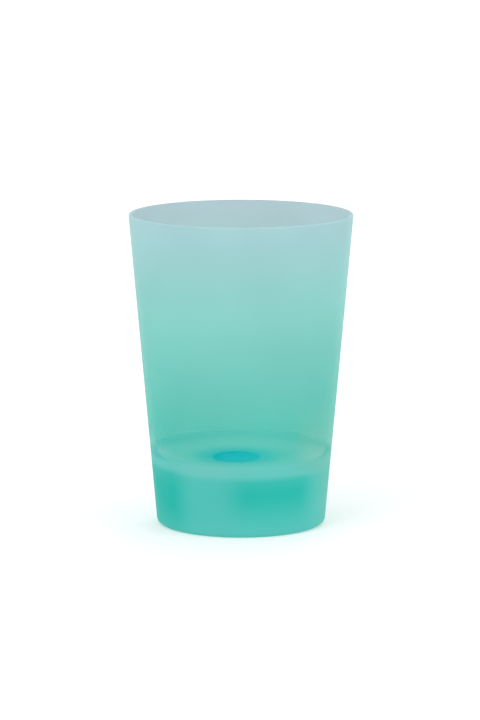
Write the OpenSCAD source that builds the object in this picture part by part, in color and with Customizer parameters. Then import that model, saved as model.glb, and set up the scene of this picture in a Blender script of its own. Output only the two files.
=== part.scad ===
// Light-up tumbler: a frosted cup whose hollow skirt holds a lamp unit, cells and a push button.
// Millimetres, +Z up. The origin is on the table, at the middle of the foot ring.

/* [Cup] */
// Height from the table to the lip
cup_h = 114; // [104:1:130]
// Outer diameter at the lip
rim_d = 81.6; // [78:0.2:90]
// Outer diameter at the table, before the foot is rounded
base_d = 61.5; // [61:0.1:66]
// Thickness of the wall at the lip
wall_rim = 1.6; // [1.2:0.1:2.2]
// Thickness of the wall where it meets the inner floor
wall_low = 2.2; // [1.8:0.1:3]
// Thickness of the inner floor
floor_t = 2.6; // [2:0.1:4]
// Radius of the cove between the inner floor and the wall
cove_r = 5; // [2:0.5:7]
// Radius of the rounded foot
foot_round = 2.2; // [1.2:0.1:2.4]

/* [Compartment] */
// Thickness of the skirt's wall at the mouth that takes the cover
skirt_t = 3.05; // [2.8:0.05:3.4]
// Width of the ledge that the seal meets
ledge_w = 1; // [0.8:0.1:1.4]
// Draft of the compartment wall, in degrees
draft_angle = 0.5; // [0.25:0.25:1]
// Radius where the compartment wall meets its ceiling
ceiling_round = 1; // [0.4:0.2:1.6]
// Edge broken round the mouth
mouth_break = 0.2; // [0.1:0.05:0.3]

/* [Cover screws] */
// Radius of a long boss at its lower end
boss_r = 2.8; // [2.4:0.1:3.1]
// How much the boss widens towards the floor
boss_draft = 0.3; // [0.1:0.05:0.4]
// Distance from the compartment wall to the middle of a boss
boss_inset = 4.1; // [3.8:0.1:4.6]
// Thickness of the rib that ties a boss to the wall
boss_rib = 1.2; // [0.8:0.1:1.6]
// Radius of the screw's shank
screw_r = 1; // [0.8:0.05:1.2]
// Radius of the screw's head
screw_head_r = 2; // [1.8:0.05:2.2]
// Height of the screw's head
screw_head_h = 1.3; // [1:0.1:1.4]
// Length of a cover screw under its head
cover_screw_len = 9; // [7:0.5:12]

/* [Window] */
// Diameter of the window that shows in the inner floor
lens_d = 16.5; // [15:0.1:18]
// Thickness of the window's face
lens_face_t = 1.4; // [1:0.1:1.8]
// Thickness of the window's side wall
lens_wall = 1; // [0.8:0.1:1.2]
// Thickness of its flange
lens_flange_t = 0.9; // [0.7:0.1:1.4]
// How far the flange reaches past the window
lens_flange_w = 2.8; // [2:0.1:3.2]
// Thickness of the gasket on the flange
gasket_t = 0.5; // [0.4:0.1:1]

/* [Lamps] */
// Height of the reflector ring
reflector_h = 2.4; // [2:0.1:3]
// How far the reflector's inside opens upwards
reflector_flare = 0.8; // [0.3:0.1:1]
// Radius of a lamp
led_r = 1.5; // [1.3:0.1:1.6]
// Radius of a lamp's collar
led_collar_r = 1.9; // [1.8:0.1:2]
// Height of that collar
led_collar_h = 0.8; // [0.6:0.1:1]
// Height of a lamp from the board
led_h = 4.4; // [3.8:0.1:4.5]
// Distance of the lamps from the middle
led_ring_r = 3.6; // [3.4:0.1:4]
// Radius of a lamp's lead
lead_r = 0.25; // [0.2:0.05:0.3]
// Distance between a lamp's two leads
lead_pitch = 1.8; // [1.4:0.1:2]

/* [Board] */
// Thickness of the circuit board
board_t = 1; // [0.8:0.1:1.6]
// Room between the board's edge and the long bosses
board_gap = 0.7; // [0.5:0.1:1.1]
// Distance from the board's edge to the middle of a unit screw
unit_screw_edge = 2.3; // [2.1:0.1:2.6]
// Radius of a short boss
unit_boss_r = 2.2; // [1.9:0.1:2.3]
// Length of a unit screw under its head
unit_screw_len = 5; // [4.6:0.1:5.2]
// Length of the controller chip
chip_l = 4.9; // [4:0.1:5.2]
// Width of the chip without its legs
chip_w = 3; // [2.6:0.1:3.2]
// Height of the chip
chip_h = 1.4; // [1:0.1:1.7]
// Draft of the chip's sides, from its middle to its top and bottom
chip_draft = 0.1; // [0.05:0.05:0.2]
// Reach of the chip's legs
chip_leg = 0.5; // [0.4:0.1:0.6]
// Thickness of the legs
chip_leg_t = 0.2; // [0.1:0.05:0.2]
// Length of a resistor
resistor_l = 2; // [1.6:0.1:2.4]
// Width of a resistor
resistor_w = 1.25; // [1:0.05:1.5]
// Height of a resistor
resistor_h = 0.5; // [0.4:0.05:0.7]
// Length of the capacitor
capacitor_l = 3.2; // [2.6:0.1:3.4]
// Width and height of the capacitor
capacitor_w = 1.6; // [1.2:0.1:1.8]

/* [Switch] */
// Width of the square switch
switch_w = 6; // [5.6:0.1:6.2]
// Height of the switch's body
switch_h = 3.5; // [3.3:0.1:4]
// Radius of the switch's corners
switch_round = 0.4; // [0.2:0.1:0.6]
// Thickness of its steel plate
switch_plate_t = 0.3; // [0.2:0.05:0.4]
// Radius of the plunger
plunger_r = 1.75; // [1.5:0.05:1.9]
// How far the plunger stands out
plunger_out = 1.2; // [1:0.1:1.6]
// Width of the plunger's flange
plunger_flange = 0.5; // [0.4:0.05:0.6]
// Height of that flange
plunger_flange_h = 0.6; // [0.4:0.1:0.8]
// Travel of the plunger and the button
press_travel = 0.5; // [0.3:0.1:0.7]

/* [Cells] */
// Diameter of a button cell
cell_d = 11.6; // [11:0.1:12]
// Thickness of a button cell
cell_h = 5.4; // [5:0.1:5.6]
// Height of a cell's raised cap
cell_cap_h = 0.3; // [0.2:0.05:0.5]
// How far the cap is set in from the can's edge
cell_cap_inset = 1.1; // [0.8:0.1:1.4]
// Radius of the can's edge
cell_edge = 0.4; // [0.3:0.05:0.6]
// Room between the cells and the cover
cell_lift = 1.3; // [1.2:0.1:2]

/* [Tray] */
// Thickness of the tray's plate
tray_t = 1; // [0.8:0.1:1.4]
// Thickness of the trough's walls
trough_wall = 1.2; // [0.9:0.1:1.4]
// Radius of the trough's corners
trough_round = 1; // [0.4:0.1:1.4]
// Thickness of the ribs that cradle the cells
cradle_t = 1; // [0.8:0.1:1.4]
// Depth of the trough's walls under the plate
trough_depth = 10; // [9:0.1:10.4]
// Radius of the opening in the plate for the switch
tray_hole_r = 5.6; // [5.4:0.1:5.8]
// Depth of the stiffening ring and ribs under the plate
tray_rib_h = 1.6; // [1:0.1:2]
// Thickness of the contact strips
contact_t = 0.3; // [0.2:0.05:0.4]
// Width of the contact strips
contact_w = 5; // [4:0.1:6]
// Height of the pip on the positive contact
pip_h = 0.2; // [0.1:0.05:0.3]
// Width of the strips' tails
tail_w = 1.6; // [1.2:0.1:1.8]
// How far a tail stands above the board
tail_out = 0.6; // [0.4:0.1:1]
// Room for the bent leaf at the end of the cells
leaf_room = 2.9; // [2.4:0.1:3.2]
// Width of the rails beside the contact strips
rail_w = 0.8; // [0.6:0.1:1]

/* [Cover] */
// Height of the cover's face above the table
cover_recess = 1; // [0.8:0.1:1.4]
// Thickness of the cover
cover_t = 1.6; // [1.4:0.1:1.7]
// Thickness of the flat seal between the cover and the ledge
seal_t = 0.55; // [0.4:0.05:0.8]
// Room between the cover and the mouth
cover_gap = 0.15; // [0.1:0.05:0.2]
// How far the spigot inside the seal stays below the screw seats
spigot_drop = 0.3; // [0.2:0.05:0.5]
// Thickness of the spigot
spigot_t = 1.2; // [1:0.1:1.6]
// Room between the spigot and the compartment wall
spigot_gap = 0.3; // [0.2:0.05:0.4]
// Height of the screw seats inside the cover
seat_h = 1.6; // [1.2:0.1:2]
// Height of the ribs inside the cover
cover_rib_h = 0.8; // [0.6:0.05:0.9]
// Thickness of those ribs
cover_rib_t = 1; // [0.8:0.1:1.4]
// Radius of the dish round the button
dish_r = 9; // [8:0.5:11]
// Depth of that dish
dish_depth = 0.4; // [0.2:0.05:0.5]
// Thickness of the pads that keep the cells up
pad_t = 1.4; // [1:0.1:2]

/* [Button] */
// Radius of the button's barrel
button_r = 5; // [4.8:0.1:5.2]
// Wall of the collar that guides the button
collar_t = 1.4; // [1.2:0.1:1.6]
// Height of that collar above the cover
collar_h = 4; // [3.6:0.1:4.6]
// How far the button's face lies inside the cover's dish
button_sink = 0.1; // [0:0.05:0.3]
// Depth of the hollow in the button's face
thumb_depth = 0.35; // [0.2:0.05:0.5]
// Thickness of the button's face
button_face_t = 1.5; // [1.2:0.1:1.8]
// Wall of the hollow barrel behind the seal's groove
button_wall = 0.8; // [0.6:0.05:0.9]
// Thickness of the flange that holds the button in
button_flange_t = 0.8; // [0.6:0.1:1]
// How far that flange reaches over the collar
button_flange_w = 1.1; // [0.7:0.1:1.2]
// Radius of the button's stem
stem_r = 1.6; // [1.3:0.1:1.7]
// Radius of the seal ring's section
ring_r = 0.5; // [0.4:0.05:0.55]

/* [Clearances] */
// Radial room of a part that slides
slide_gap = 0.1; // [0.06:0.01:0.1]
// Room between faces that meet across a joint
face_gap = 0.05; // [0.03:0.01:0.1]
// Room round a fixed piece in its hole
fixed_gap = 0.1; // [0.05:0.01:0.15]
// Room between pieces that only pass each other
pass_gap = 0.5; // [0.3:0.05:0.8]

/* [Hidden] */

// Counts and shares
cell_count = 3;
edge_share = 0.3;
slot_share = 0.3;
recess_share = 0.6;
tip_share = 0.4;
leg_share = 0.09;
foot_share = 0.18;
notch_share = 0.3;
thumb_share = 0.85;

// How far a cut runs past what it cuts
overrun = floor_t;

// Steps of an arc and sides of a circle
arc_steps = 10;
lip_step = 90 / arc_steps;
fine = 180;
smooth = 72;
coarse = 32;

frost = [0.70, 0.85, 0.86];
clear_cyan = [0.05, 0.72, 0.75];
milk = [0.93, 0.95, 0.94];
silicone = [0.80, 0.82, 0.82];
steel = [0.72, 0.73, 0.74];
nickel = [0.78, 0.76, 0.70];
board_green = [0.10, 0.38, 0.22];
black = [0.08, 0.08, 0.09];

// Heights, from the cover up to the inner floor
cover_z = cover_recess + cover_t;
cell_bottom_z = cover_z + cell_lift;
cell_axis_z = cell_bottom_z + cell_d / 2;
tray_z = cell_bottom_z + cell_d + fixed_gap;
board_z = tray_z + tray_t;
board_top_z = board_z + board_t;
flange_z = board_top_z + reflector_h;
gasket_z = flange_z + lens_flange_t;
ceiling_z = gasket_z + gasket_t;
floor_z = ceiling_z + floor_t;

// Wall of the cup
base_r = base_d / 2;
rim_r = rim_d / 2;
lip_r = wall_rim / 2;
lip_z = cup_h - lip_r;
lip_c = rim_r - lip_r;
taper = atan((rim_r - base_r) / lip_z);
function outer_r(z) = base_r + (rim_r - base_r) * z / lip_z;
inner_low_r = outer_r(floor_z) - wall_low;
inner_taper = atan((lip_c - lip_r - inner_low_r) / (lip_z - floor_z));
cove_z = floor_z + cove_r;
cove_c = inner_low_r + cove_r * tan(inner_taper) - cove_r / cos(inner_taper);
foot_c = outer_r(foot_round) - foot_round / cos(taper);

// Compartment in the skirt
mouth_r = base_r - skirt_t;
mouth_depth = cover_z + seal_t + face_gap;
cavity_r = mouth_r - ledge_w;
cavity_top_r = cavity_r - (ceiling_z - mouth_depth) * tan(draft_angle);

// Long bosses and the cover's seats
boss_ring_r = cavity_r - boss_inset;
boss_angles = [30, 150, 270];
seat_z = cover_z + seat_h;
boss_z = seat_z + face_gap;
boss_hole_r = screw_r + slide_gap;
boss_hole_top = cover_z + cover_screw_len + pass_gap;

// Window
lens_r = lens_d / 2 - fixed_gap;
lens_flange_r = lens_d / 2 + lens_flange_w;
lens_inner_r = lens_r - lens_wall;

// Board and its screws
board_r = boss_ring_r - boss_r - boss_draft - board_gap;
unit_ring_r = board_r - unit_screw_edge;
unit_angles = [270, -8, 188];
unit_hole_top = tray_z + unit_screw_len + fixed_gap;
led_angles = [90, 210, 330];

// Button, collar and switch
collar_in_r = button_r + slide_gap;
collar_out_r = collar_in_r + collar_t;
collar_z = cover_z + collar_h;
button_z = cover_recess + dish_depth + button_sink;
button_flange_z = collar_z + face_gap;
button_top_z = button_flange_z + button_flange_t;
ring_c = collar_in_r - face_gap - ring_r;
ring_z = (button_z + button_face_t + collar_z) / 2;
switch_z = board_z - switch_h;
plate_z = switch_z - switch_plate_t;
plunger_z = plate_z - plunger_out;
plunger_flange_r = plunger_r + plunger_flange;
plunger_top_z = switch_z + face_gap + plunger_flange_h + plunger_flange;
switch_room_z = plunger_top_z + press_travel + face_gap;

// Trough for the cells
trough_in_w = cell_d + fixed_gap + fixed_gap;
trough_w = trough_in_w + trough_wall + trough_wall;
trough_y = collar_out_r + pass_gap + trough_w / 2;
trough_in_l = contact_t + pip_h + cell_count * cell_h + leaf_room;
trough_l = trough_in_l + trough_wall + trough_wall;
cells_x = -trough_in_l / 2 + contact_t + pip_h;
leaf_x = trough_in_l / 2 - contact_t / 2;
tail_x = trough_in_l / 2 - contact_t / 2;
tail_top_z = board_top_z + tail_out;

// Points of an arc, from one angle to another
function arc(c, z, r, from, to) =
    [for (i = [0 : arc_steps]) let (a = from + (to - from) * i / arc_steps) [c + r * cos(a), z + r * sin(a)]];

// A ring with a square section
module ring(inner, outer, z, h, fn = smooth) {
    difference() {
        translate([0, 0, z]) cylinder(r = outer, h = h, $fn = fn);
        translate([0, 0, z - overrun]) cylinder(r = inner, h = h + overrun + overrun, $fn = fn);
    }
}

// A rectangle with round corners
module rounded_rect(l, w, r) {
    square([l - r - r, w], center = true);
    square([l, w - r - r], center = true);
    for (x = [-1, 1], y = [-1, 1])
        translate([x * (l / 2 - r), y * (w / 2 - r)]) circle(r = r, $fn = coarse);
}

// Puts a copy at each angle of a ring
module at_angles(angles, r) {
    for (a = angles)
        rotate([0, 0, a]) translate([r, 0, 0]) children();
}

// A pan head with a cross recess, its seat at z = 0 and its head below, and a pointed shank above
module screw(length) {
    slot_w = screw_head_r * slot_share;
    difference() {
        rotate_extrude($fn = coarse) polygon([
            [0, -screw_head_h],
            [screw_head_r - screw_head_h / 2, -screw_head_h],
            each arc(screw_head_r - screw_head_h / 2, -screw_head_h / 2, screw_head_h / 2, -90, 0),
            [screw_head_r, 0],
            [screw_r, 0],
            [screw_r, length - screw_r],
            [screw_r * tip_share, length],
            [0, length]
        ]);
        for (a = [0, 90])
            rotate([0, 0, a])
                translate([-screw_head_r * recess_share, -slot_w / 2, -screw_head_h - overrun])
                    cube([2 * screw_head_r * recess_share, slot_w, overrun + screw_head_h / 2]);
    }
}

// A strip bent along points in the XZ plane, centred on y = 0
module bent_strip(points, width) {
    translate([0, width / 2, 0]) rotate([90, 0, 0]) linear_extrude(height = width) {
        for (i = [0 : len(points) - 2]) {
            step = points[i + 1] - points[i];
            translate(points[i]) rotate(atan2(step[1], step[0]))
                translate([0, -contact_t / 2]) square([norm(step), contact_t]);
        }
        for (i = [1 : len(points) - 2])
            translate(points[i]) circle(r = contact_t / 2, $fn = coarse);
    }
}

// The cup: outside from the foot to the lip, inside down to the floor, then the compartment
module cup_body() {
    root_z = ceiling_z + floor_t / 2;
    corner_r = cavity_top_r - ceiling_round;
    color(frost) difference() {
        union() {
            rotate_extrude($fn = fine) polygon([
                each arc(foot_c, foot_round, foot_round, -90, -taper),
                each arc(lip_c, lip_z, lip_r, -taper, 90),
                each arc(lip_c, lip_z, lip_r, 90 + lip_step, 180 - inner_taper),
                each arc(cove_c, cove_z, cove_r, -inner_taper, -90),
                [lens_d / 2, floor_z],
                [lens_d / 2, ceiling_z],
                each arc(corner_r, ceiling_z - ceiling_round, ceiling_round, 90, draft_angle),
                [cavity_r, mouth_depth],
                [mouth_r, mouth_depth],
                [mouth_r, mouth_break],
                [mouth_r + mouth_break, 0]
            ]);
            at_angles(boss_angles, boss_ring_r) {
                translate([0, 0, boss_z])
                    cylinder(r1 = boss_r, r2 = boss_r + boss_draft, h = root_z - boss_z, $fn = smooth);
                translate([0, -boss_rib / 2, boss_z + boss_rib])
                    cube([boss_inset + ledge_w / 2, boss_rib, root_z - boss_z - boss_rib]);
            }
            at_angles(unit_angles, unit_ring_r)
                translate([0, 0, board_top_z])
                    cylinder(r = unit_boss_r, h = root_z - board_top_z, $fn = smooth);
        }
        at_angles(boss_angles, boss_ring_r)
            translate([0, 0, boss_z - overrun])
                cylinder(r = boss_hole_r, h = boss_hole_top - boss_z + overrun, $fn = coarse);
        at_angles(unit_angles, unit_ring_r)
            translate([0, 0, board_top_z - overrun])
                cylinder(r = screw_r + fixed_gap, h = unit_hole_top - board_top_z + overrun, $fn = coarse);
    }
}

// The window: a clear cap flush with the inner floor, hollow for the lamps
module light_lens() {
    edge = lens_wall * edge_share;
    color(clear_cyan) rotate_extrude($fn = smooth) polygon([
        [0, floor_z - lens_face_t],
        [lens_inner_r, floor_z - lens_face_t],
        [lens_inner_r, flange_z],
        [lens_flange_r, flange_z],
        [lens_flange_r, gasket_z],
        [lens_r, gasket_z],
        each arc(lens_r - edge, floor_z - edge, edge, 0, 90),
        [0, floor_z]
    ]);
}

module lens_gasket() {
    color(silicone) ring(lens_d / 2, lens_flange_r, gasket_z, gasket_t);
}

// The reflector: a white ring whose inside opens upwards
module reflector() {
    top_r = lens_inner_r;
    color(milk) rotate_extrude($fn = smooth) polygon([
        [top_r - reflector_flare, board_top_z],
        [lens_flange_r, board_top_z],
        [lens_flange_r, flange_z],
        [top_r, flange_z]
    ]);
}

// A round lamp on two leads, cut flush under the board
module lamp(angle) {
    rotate([0, 0, angle]) translate([led_ring_r, 0, board_top_z]) {
        rotate_extrude($fn = coarse) polygon([
            [0, 0],
            [led_collar_r, 0],
            [led_collar_r, led_collar_h],
            [led_r, led_collar_h],
            each arc(0, led_h - led_r, led_r, 0, 90)
        ]);
        for (s = [-1, 1])
            translate([0, s * lead_pitch / 2, -board_t])
                cylinder(r = lead_r, h = board_t + led_collar_h / 2, $fn = coarse);
    }
}
module led_red() { color([0.85, 0.25, 0.25]) lamp(led_angles[0]); }
module led_green() { color([0.25, 0.80, 0.40]) lamp(led_angles[1]); }
module led_blue() { color([0.25, 0.45, 0.90]) lamp(led_angles[2]); }

module circuit_board() {
    color(board_green) difference() {
        translate([0, 0, board_z]) cylinder(r = board_r, h = board_t, $fn = fine);
        at_angles(unit_angles, unit_ring_r)
            translate([0, 0, board_z - overrun])
                cylinder(r = screw_r + fixed_gap, h = board_t + overrun + overrun, $fn = coarse);
        at_angles(led_angles, led_ring_r)
            for (s = [-1, 1])
                translate([0, s * lead_pitch / 2, board_z - overrun])
                    cylinder(r = lead_r + fixed_gap, h = board_t + overrun + overrun, $fn = coarse);
        tail_slots(board_z, board_t);
    }
}

// Slots that let the two contact tails through
module tail_slots(z, t) {
    slot_w = tail_w + fixed_gap + fixed_gap;
    slot_t = contact_t + fixed_gap + fixed_gap;
    for (s = [-1, 1])
        translate([s * tail_x - slot_t / 2, trough_y - slot_w / 2, z - overrun])
            cube([slot_t, slot_w, t + overrun + overrun]);
}

// The chip stands over the trough's side of the board, outside the reflector
module controller_chip() {
    leg_w = chip_l * leg_share;
    chip_y = (lens_flange_r + board_r) / 2;
    low = chip_h * leg_share;
    middle = (low + chip_h) / 2;
    side = chip_w / 2;
    bend = side + chip_leg / 2;
    color(black) translate([0, chip_y, board_top_z]) {
        along_x(chip_l) polygon([
            [side - chip_draft, low],
            [side, middle],
            [side - chip_draft, chip_h],
            [chip_draft - side, chip_h],
            [-side, middle],
            [chip_draft - side, low]
        ]);
        for (x = [-3, -1, 1, 3], turn = [0, 180])
            rotate([0, 0, turn]) translate([x * chip_l / 8, 0, 0]) along_x(leg_w) polygon([
                [side - chip_leg, middle],
                [bend, middle],
                [bend, chip_leg_t],
                [side + chip_leg, chip_leg_t],
                [side + chip_leg, 0],
                [bend - chip_leg_t, 0],
                [bend - chip_leg_t, middle - chip_leg_t],
                [side - chip_leg, middle - chip_leg_t]
            ]);
    }
}

// Draws a YZ outline out along X, to both sides of the origin
module along_x(l) {
    translate([-l / 2, 0, 0]) rotate([90, 0, 90]) linear_extrude(height = l) children();
}

module resistors() {
    ring_r = (lens_flange_r + board_r) / 2;
    color(black) at_angles([218, 236, 304], ring_r)
        translate([-resistor_w / 2, -resistor_l / 2, board_top_z]) cube([resistor_w, resistor_l, resistor_h]);
}

module capacitor() {
    ring_r = (lens_flange_r + board_r) / 2;
    color([0.62, 0.50, 0.34]) at_angles([325], ring_r)
        translate([-capacitor_w / 2, -capacitor_l / 2, board_top_z])
            cube([capacitor_w, capacitor_l, capacitor_w]);
}

// The switch hangs under the board, its plunger pointing down at the button
module switch_body() {
    foot = switch_w * foot_share;
    foot_z = board_z - switch_plate_t;
    color(black) difference() {
        union() {
            translate([0, 0, switch_z])
                linear_extrude(height = switch_h) rounded_rect(switch_w, switch_w, switch_round);
            for (x = [-1, 1], y = [-1, 1])
                translate([x * switch_w / 2 - foot / 2, y * switch_w / 3 - foot / 2, foot_z])
                    cube([foot, foot, switch_plate_t]);
        }
        translate([0, 0, switch_z - overrun])
            cylinder(r = plunger_flange_r + slide_gap, h = switch_room_z - switch_z + overrun, $fn = coarse);
    }
}

module switch_plate() {
    color(steel) difference() {
        translate([0, 0, plate_z])
            linear_extrude(height = switch_plate_t) rounded_rect(switch_w, switch_w, switch_round);
        translate([0, 0, plate_z - overrun])
            cylinder(r = plunger_r + slide_gap, h = switch_plate_t + overrun + overrun, $fn = coarse);
    }
}

module switch_plunger() {
    color(black) rotate_extrude($fn = coarse) polygon([
        [0, plunger_z],
        [plunger_r, plunger_z],
        [plunger_r, switch_z + face_gap],
        [plunger_flange_r, switch_z + face_gap],
        [plunger_flange_r, switch_z + face_gap + plunger_flange_h],
        [plunger_flange, switch_z + face_gap + plunger_flange_h],
        [plunger_flange, plunger_top_z],
        [0, plunger_top_z]
    ]);
}

// The tray: a plate under the board and a trough, open downwards, that grips the cells' sides
module battery_tray() {
    notch_r = cell_d * notch_share;
    trough_z = board_z - trough_depth;
    rib_l = unit_ring_r - screw_head_r - tray_hole_r - tray_t;
    color(milk) difference() {
        union() {
            difference() {
                union() {
                    translate([0, 0, tray_z]) cylinder(r = board_r, h = tray_t, $fn = fine);
                    translate([0, trough_y, trough_z])
                        linear_extrude(height = trough_depth) rounded_rect(trough_l, trough_w, trough_round);
                }
                translate([-trough_in_l / 2, trough_y - trough_in_w / 2, trough_z - overrun])
                    cube([trough_in_l, trough_in_w, tray_z - trough_z + overrun]);
            }
            cell_cradles();
            contact_rails(trough_z);
            translate([0, 0, tray_z - tray_rib_h])
                cylinder(r = tray_hole_r + tray_t, h = tray_rib_h + tray_t / 2, $fn = smooth);
            at_angles(unit_angles, 0)
                translate([tray_hole_r + tray_t / 2, -tray_t / 2, tray_z - tray_rib_h])
                    cube([rib_l, tray_t, tray_rib_h + tray_t / 2]);
        }
        translate([0, 0, tray_z - tray_rib_h - overrun])
            cylinder(r = tray_hole_r, h = tray_rib_h + tray_t + overrun + overrun, $fn = smooth);
        translate([0, trough_y, board_z - trough_depth])
            rotate([90, 0, 0]) cylinder(r = notch_r, h = trough_w + overrun, center = true, $fn = smooth);
        at_angles(unit_angles, unit_ring_r)
            translate([0, 0, tray_z - overrun])
                cylinder(r = screw_r + fixed_gap, h = tray_t + overrun + overrun, $fn = coarse);
        tail_slots(tray_z, tray_t);
    }
}

// Ribs in the trough's upper corners, cut to the cells' round sides, one over each cell
module cell_cradles() {
    hold_w = trough_in_w + trough_wall;
    hold_h = tray_z - cell_axis_z;
    for (i = [0 : cell_count - 1])
        translate([cells_x + cell_h * i + cell_h / 2, trough_y, cell_axis_z]) difference() {
            along_x(cradle_t) translate([-hold_w / 2, 0]) square([hold_w, hold_h + tray_t / 2]);
            along_x(cradle_t + overrun) circle(r = cell_d / 2 + face_gap, $fn = smooth);
        }
}

// Rails on the trough's end walls, one at each side of a contact strip
module contact_rails(z) {
    rail_t = contact_t + fixed_gap;
    rail_x = (trough_in_l + trough_wall - rail_t) / 2;
    rail_y = contact_w / 2 + fixed_gap + rail_w / 2;
    for (x = [-1, 1], y = [-1, 1])
        translate([x * rail_x, trough_y + y * rail_y, z])
            linear_extrude(height = tray_z - z + tray_t / 2)
                square([trough_wall + rail_t, rail_w], center = true);
}

// A button cell, its flat can facing -X and its raised cap facing +X
module button_cell(i) {
    cap_r = cell_d / 2 - cell_cap_inset;
    can_h = cell_h - cell_cap_h;
    translate([cells_x + i * cell_h, trough_y, cell_axis_z]) rotate([0, 90, 0])
        rotate_extrude($fn = smooth) polygon([
            [0, 0],
            each arc(cell_d / 2 - cell_edge, cell_edge, cell_edge, -90, 0),
            each arc(cell_d / 2 - cell_edge, can_h - cell_edge, cell_edge, 0, 90),
            [cap_r, can_h],
            [cap_r, cell_h],
            [0, cell_h]
        ]);
}
module cell_1() { color(nickel) button_cell(0); }
module cell_2() { color(nickel) button_cell(1); }
module cell_3() { color(nickel) button_cell(2); }

// The flat contact, with a pip on the first cell's can
module positive_contact() {
    color(steel) translate([0, trough_y, 0]) {
        bent_strip([[-tail_x, cell_axis_z - contact_w / 2], [-tail_x, tray_z]], contact_w);
        bent_strip([[-tail_x, tray_z - contact_w / 2], [-tail_x, tail_top_z]], tail_w);
        translate([cells_x - pip_h - contact_t / 2, 0, cell_axis_z]) rotate([0, 90, 0])
            cylinder(r1 = contact_w / 3, r2 = contact_w / 4, h = pip_h + contact_t / 2, $fn = coarse);
    }
}

// The bent leaf that presses on the last cell's cap
module negative_contact() {
    touch_x = cells_x + cell_count * cell_h + contact_t / 2;
    low_z = board_z - trough_depth + contact_t;
    color(steel) translate([0, trough_y, 0]) {
        bent_strip([
            [leaf_x, tray_z],
            [leaf_x, low_z],
            [touch_x, cell_axis_z],
            [(touch_x + leaf_x) / 2, (cell_axis_z + tray_z) / 2]
        ], contact_w);
        bent_strip([[tail_x, tray_z - contact_w / 2], [tail_x, tail_top_z]], tail_w);
    }
}

module unit_screws() {
    color(steel) at_angles(unit_angles, unit_ring_r) translate([0, 0, tray_z]) screw(unit_screw_len);
}

// The cover: a dished plate, its spigot, the button's collar, screw seats, ribs and cell pads
module base_cover() {
    plate_r = mouth_r - cover_gap;
    spigot_r = cavity_r - spigot_gap;
    edge = cover_t * edge_share;
    color(milk) difference() {
        union() {
            rotate_extrude($fn = fine) polygon([
                [collar_in_r, cover_recess + dish_depth],
                [dish_r - dish_depth, cover_recess + dish_depth],
                [dish_r, cover_recess],
                [plate_r - edge, cover_recess],
                [plate_r, cover_recess + edge],
                [plate_r, cover_z],
                [spigot_r, cover_z],
                [spigot_r, seat_z - spigot_drop - edge],
                [spigot_r - edge, seat_z - spigot_drop],
                [spigot_r - spigot_t, seat_z - spigot_drop],
                [spigot_r - spigot_t, cover_z],
                [collar_out_r, cover_z],
                [collar_out_r, collar_z],
                [collar_in_r, collar_z]
            ]);
            at_angles(boss_angles, boss_ring_r)
                translate([0, 0, cover_recess + edge])
                    cylinder(r = boss_r, h = seat_z - cover_recess - edge, $fn = smooth);
            for (a = [30 : 60 : 330])
                rotate([0, 0, a])
                    translate([collar_in_r + collar_t / 2, -cover_rib_t / 2, cover_z - edge])
                        cube([spigot_r - spigot_t - collar_in_r, cover_rib_t, cover_rib_h + edge]);
            for (s = [-1, 1])
                translate([s * cell_h - pad_t / 2, trough_y - cell_d / 4, cover_z - edge])
                    cube([pad_t, cell_d / 2, cell_lift - slide_gap - slide_gap + edge]);
        }
        at_angles(boss_angles, boss_ring_r) {
            translate([0, 0, cover_recess - overrun])
                cylinder(r = screw_head_r + fixed_gap + fixed_gap, h = cover_t + overrun, $fn = smooth);
            translate([0, 0, cover_z - overrun])
                cylinder(r = screw_r + fixed_gap, h = seat_h + overrun + overrun, $fn = coarse);
        }
    }
}

module base_seal() {
    inner = cavity_r - spigot_gap + face_gap;
    outer = mouth_r - cover_gap - face_gap;
    color(silicone) ring(inner, outer, cover_z, seal_t, fine);
}

// The button: a hollow barrel with a flange that holds it in and a stem that meets the plunger
module push_button() {
    core_r = ring_c - ring_r - face_gap;
    groove_h = ring_r + face_gap;
    bell_r = core_r - button_wall;
    thumb_r = button_r * thumb_share;
    thumb_sphere = (thumb_r * thumb_r + thumb_depth * thumb_depth) / (2 * thumb_depth);
    edge = thumb_depth;
    color([0.55, 0.85, 0.84]) difference() {
        rotate_extrude($fn = smooth) polygon([
            [0, button_z],
            [button_r - edge, button_z],
            [button_r, button_z + edge],
            [button_r, ring_z - groove_h],
            [core_r, ring_z - groove_h],
            [core_r, ring_z + groove_h],
            [button_r, ring_z + groove_h],
            [button_r, button_flange_z],
            [button_r + button_flange_w, button_flange_z],
            [button_r + button_flange_w, button_top_z],
            [bell_r, button_top_z],
            [bell_r, button_z + button_face_t],
            [stem_r, button_z + button_face_t],
            [stem_r, plunger_z - face_gap],
            [0, plunger_z - face_gap]
        ]);
        translate([0, 0, button_z + thumb_depth - thumb_sphere]) sphere(r = thumb_sphere, $fn = fine);
    }
}

module button_seal() {
    color(silicone) translate([0, 0, ring_z])
        rotate_extrude($fn = smooth) translate([ring_c, 0]) circle(r = ring_r, $fn = coarse);
}

module cover_screws() {
    color(steel) at_angles(boss_angles, boss_ring_r) translate([0, 0, cover_z]) screw(cover_screw_len);
}

cup_body();
light_lens();
lens_gasket();
reflector();
led_red();
led_green();
led_blue();
circuit_board();
controller_chip();
resistors();
capacitor();
switch_body();
switch_plate();
switch_plunger();
battery_tray();
cell_1();
cell_2();
cell_3();
positive_contact();
negative_contact();
unit_screws();
base_cover();
base_seal();
push_button();
button_seal();
cover_screws();
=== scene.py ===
import math

import bmesh
import bpy
from bpy.props import FloatProperty, FloatVectorProperty, IntProperty, PointerProperty
from bpy.types import Operator, Panel, PropertyGroup
from mathutils import Matrix, Vector


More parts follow.
